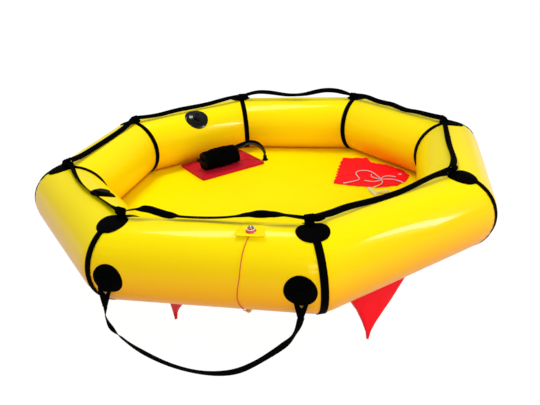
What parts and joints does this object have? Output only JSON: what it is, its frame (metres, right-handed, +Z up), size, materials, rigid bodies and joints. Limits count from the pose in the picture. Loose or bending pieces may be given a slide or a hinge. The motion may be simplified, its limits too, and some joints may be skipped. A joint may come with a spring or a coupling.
{
  "type": "inflatable liferaft",
  "caption": "Open octagonal inflatable liferaft: one buoyancy tube with a floor, a webbing lifeline, a boarding strap, ballast bags, a light, valves and stowed gear.",
  "frame": {"origin": "on the raft's upright axis, level with the underside of the buoyancy tube, where the water's surface lies under an empty raft", "axes": "+Z up, -Y towards the boarding side with its strap and locator light, +X to the right when seen from that side"},
  "size_m": [1.8506, 1.9428, 0.6163],
  "materials": {
    "tube_fabric": "coated, satin",
    "floor_fabric": "coated, satin",
    "black_webbing": "woven, matte",
    "black_patch": "semi-matte",
    "red_cloth": "coated, satin",
    "valise_cloth": "coated, satin",
    "lamp_plastic": "moulded",
    "lamp_lens": "clear",
    "lamp_filament": "frosted",
    "lead_insulation": "smooth",
    "cell_plastic": "moulded",
    "valve_plastic": "moulded",
    "pump_plastic": "moulded",
    "hose_rubber": "smooth",
    "white_cord": "braided",
    "toggle_plastic": "moulded",
    "cylinder_paint": "satin",
    "head_metal": "machined",
    "lever_paint": "satin"
  },
  "bodies": {
    "raft": {"ballast_bag_1": "red_cloth", "ballast_bag_2": "red_cloth", "ballast_bag_3": "red_cloth", "ballast_bag_4": "red_cloth", "boarding_strap": "black_webbing", "buoyancy_tube": "tube_fabric", "cord_toggle": "toggle_plastic", "corner_band_1": "black_webbing", "corner_band_2": "black_webbing", "corner_band_3": "black_webbing", "corner_band_4": "black_webbing", "corner_band_5": "black_webbing", "corner_band_6": "black_webbing", "corner_band_7": "black_webbing", "corner_band_8": "black_webbing", "cylinder_cradle": "black_webbing", "cylinder_head": "head_metal", "floor_seam_tape": "tube_fabric", "floor_sheet": "floor_fabric", "gas_cylinder": "cylinder_paint", "hose_adaptor": "pump_plastic", "lamp_base": "lamp_plastic", "lamp_bulb": "lamp_filament", "lamp_dome": "lamp_lens", "lamp_flap": "tube_fabric", "lamp_lead": "lead_insulation", "lifeline_1": "black_webbing", "lifeline_2": "black_webbing", "lifeline_3": "black_webbing", "lifeline_4": "black_webbing", "lifeline_5": "black_webbing", "lifeline_6": "black_webbing", "lifeline_7": "black_webbing", "lifeline_8": "black_webbing", "lifeline_anchor_1": "black_patch", "lifeline_anchor_2": "black_patch", "lifeline_anchor_3": "black_patch", "lifeline_anchor_4": "black_patch", "lifeline_anchor_5": "black_patch", "lifeline_anchor_6": "black_patch", "lifeline_anchor_7": "black_patch", "lifeline_anchor_8": "black_patch", "pump_barrel": "pump_plastic", "pump_hose": "hose_rubber", "relief_cage": "valve_plastic", "relief_patch": "black_patch", "sea_anchor": "red_cloth", "sea_anchor_cord": "white_cord", "sea_water_cell": "cell_plastic", "strap_patch_left": "black_patch", "strap_patch_right": "black_patch", "strap_tab_left": "black_webbing", "strap_tab_right": "black_webbing", "valise": "valise_cloth", "valve_body": "valve_plastic", "valve_patch": "black_patch"},
    "valve_cap": {"valve_cap": "valve_plastic"},
    "relief_poppet": {"relief_poppet": "valve_plastic"},
    "pump_plunger": {"pump_plunger": "pump_plastic"},
    "firing_lever": {"firing_lever": "lever_paint"}
  },
  "joints": [
    {"name": "valve_cap_flip", "type": "hinge", "parent": "raft", "child": "valve_cap", "pos_m": [-0.47427, 0.47427, 0.2501], "axis": [0.7071, 0.7071, 0], "range_deg": [0, 150]},
    {"name": "relief_poppet_lift", "type": "slide", "parent": "raft", "child": "relief_poppet", "axis": [0.2418, 0.2418, 0.9397], "range_m": [0, 0.002], "stiffness_N_per_m": 500, "springref_m": -0.003},
    {"name": "pump_stroke", "type": "slide", "parent": "raft", "child": "pump_plunger", "axis": [-0.7071, -0.7071, 0], "range_m": [0, 0.16]},
    {"name": "firing_lever_pull", "type": "hinge", "parent": "raft", "child": "firing_lever", "pos_m": [-0.201, 0.98434, 0.11203], "axis": [0, 0.9903, -0.1392], "range_deg": [0, 90]}
  ]
}
